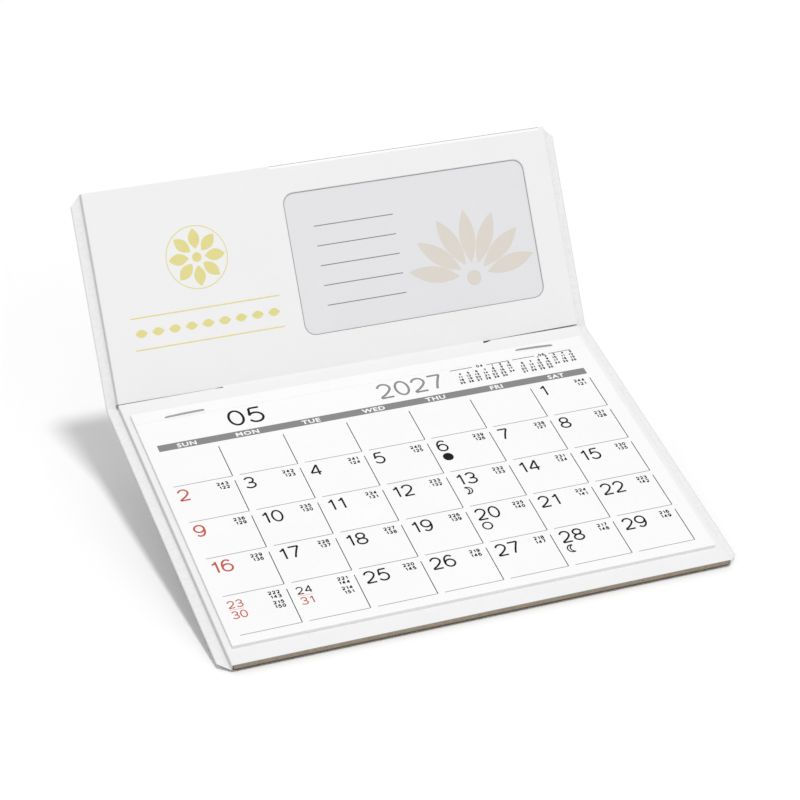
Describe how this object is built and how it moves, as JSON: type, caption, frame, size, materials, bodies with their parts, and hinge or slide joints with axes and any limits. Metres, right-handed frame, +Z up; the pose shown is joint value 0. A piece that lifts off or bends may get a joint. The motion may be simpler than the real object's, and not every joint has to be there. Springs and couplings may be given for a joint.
{
  "type": "desk calendar",
  "caption": "Easel desk calendar: a sloping base with a stapled tear-off month pad, a fold-up panel with a rounded window over a slide-in card, and a hinged leg behind.",
  "frame": {"origin": "middle of the footprint's bounding box, on the desk", "axes": "+X along the fold to the right as read, +Y to the back, +Z up"},
  "size_m": [0.1638, 0.1442, 0.0889],
  "materials": {
    "cover_skin": "semi-matte white, faint grain",
    "board": "raw grey-brown chipboard",
    "lined_board": "white-lined board",
    "card_stock": "smooth white card",
    "pad_paper": "white offset paper with printed month",
    "staple_wire": "bright drawn wire"
  },
  "bodies": {
    "base": {"base_bottom_skin": "cover_skin", "base_board": "board", "base_top_skin": "cover_skin", "pad_stubs": "pad_paper", "staple_left": "staple_wire", "staple_right": "staple_wire", "hinge_back_strip": "cover_skin", "hinge_bridge_strip": "cover_skin"},
    "panel": {"panel_back_skin": "cover_skin", "panel_board": "board", "pocket_spacer": "lined_board", "panel_front_skin": "cover_skin", "leg_tab": "cover_skin", "leg_mount_board": "board", "leg_hinge_strip": "cover_skin"},
    "leg": {"leg_skin": "cover_skin", "leg_board": "board"},
    "card": {"message_card": "card_stock"},
    "month_01": {"month_sheet_01": "pad_paper"},
    "month_02": {"month_sheet_02": "pad_paper"},
    "month_03": {"month_sheet_03": "pad_paper"},
    "month_04": {"month_sheet_04": "pad_paper"},
    "month_05": {"month_sheet_05": "pad_paper"},
    "month_06": {"month_sheet_06": "pad_paper"},
    "month_07": {"month_sheet_07": "pad_paper"},
    "month_08": {"month_sheet_08": "pad_paper"},
    "month_09": {"month_sheet_09": "pad_paper"},
    "month_10": {"month_sheet_10": "pad_paper"},
    "month_11": {"month_sheet_11": "pad_paper"},
    "month_12": {"month_sheet_12": "pad_paper"}
  },
  "joints": [
    {"name": "panel_fold", "type": "hinge", "parent": "base", "child": "panel", "pos_m": [0, 0.04018, 0.02848], "axis": [-1, 0, 0], "range_deg": [0, 47.5], "deforming": ["hinge_back_strip", "hinge_bridge_strip"]},
    {"name": "leg_fold", "type": "hinge", "parent": "panel", "child": "leg", "pos_m": [0, 0.04427, 0.03537], "axis": [-1, 0, 0], "range_deg": [0, 39.2], "deforming": ["leg_hinge_strip"]},
    {"name": "card_slide", "type": "slide", "parent": "panel", "child": "card", "axis": [0, 0.4726, 0.8813], "range_m": [0, 0.058]},
    {"name": "tear_month_01", "type": "slide", "parent": "base", "child": "month_01", "axis": [1, 0, 0], "range_m": [0, 0.159]},
    {"name": "tear_month_02", "type": "slide", "parent": "base", "child": "month_02", "axis": [1, 0, 0], "range_m": [0, 0.159]},
    {"name": "tear_month_03", "type": "slide", "parent": "base", "child": "month_03", "axis": [1, 0, 0], "range_m": [0, 0.159]},
    {"name": "tear_month_04", "type": "slide", "parent": "base", "child": "month_04", "axis": [1, 0, 0], "range_m": [0, 0.159]},
    {"name": "tear_month_05", "type": "slide", "parent": "base", "child": "month_05", "axis": [1, 0, 0], "range_m": [0, 0.159]},
    {"name": "tear_month_06", "type": "slide", "parent": "base", "child": "month_06", "axis": [1, 0, 0], "range_m": [0, 0.159]},
    {"name": "tear_month_07", "type": "slide", "parent": "base", "child": "month_07", "axis": [1, 0, 0], "range_m": [0, 0.159]},
    {"name": "tear_month_08", "type": "slide", "parent": "base", "child": "month_08", "axis": [1, 0, 0], "range_m": [0, 0.159]},
    {"name": "tear_month_09", "type": "slide", "parent": "base", "child": "month_09", "axis": [1, 0, 0], "range_m": [0, 0.159]},
    {"name": "tear_month_10", "type": "slide", "parent": "base", "child": "month_10", "axis": [1, 0, 0], "range_m": [0, 0.159]},
    {"name": "tear_month_11", "type": "slide", "parent": "base", "child": "month_11", "axis": [1, 0, 0], "range_m": [0, 0.159]},
    {"name": "tear_month_12", "type": "slide", "parent": "base", "child": "month_12", "axis": [1, 0, 0], "range_m": [0, 0.159]}
  ]
}
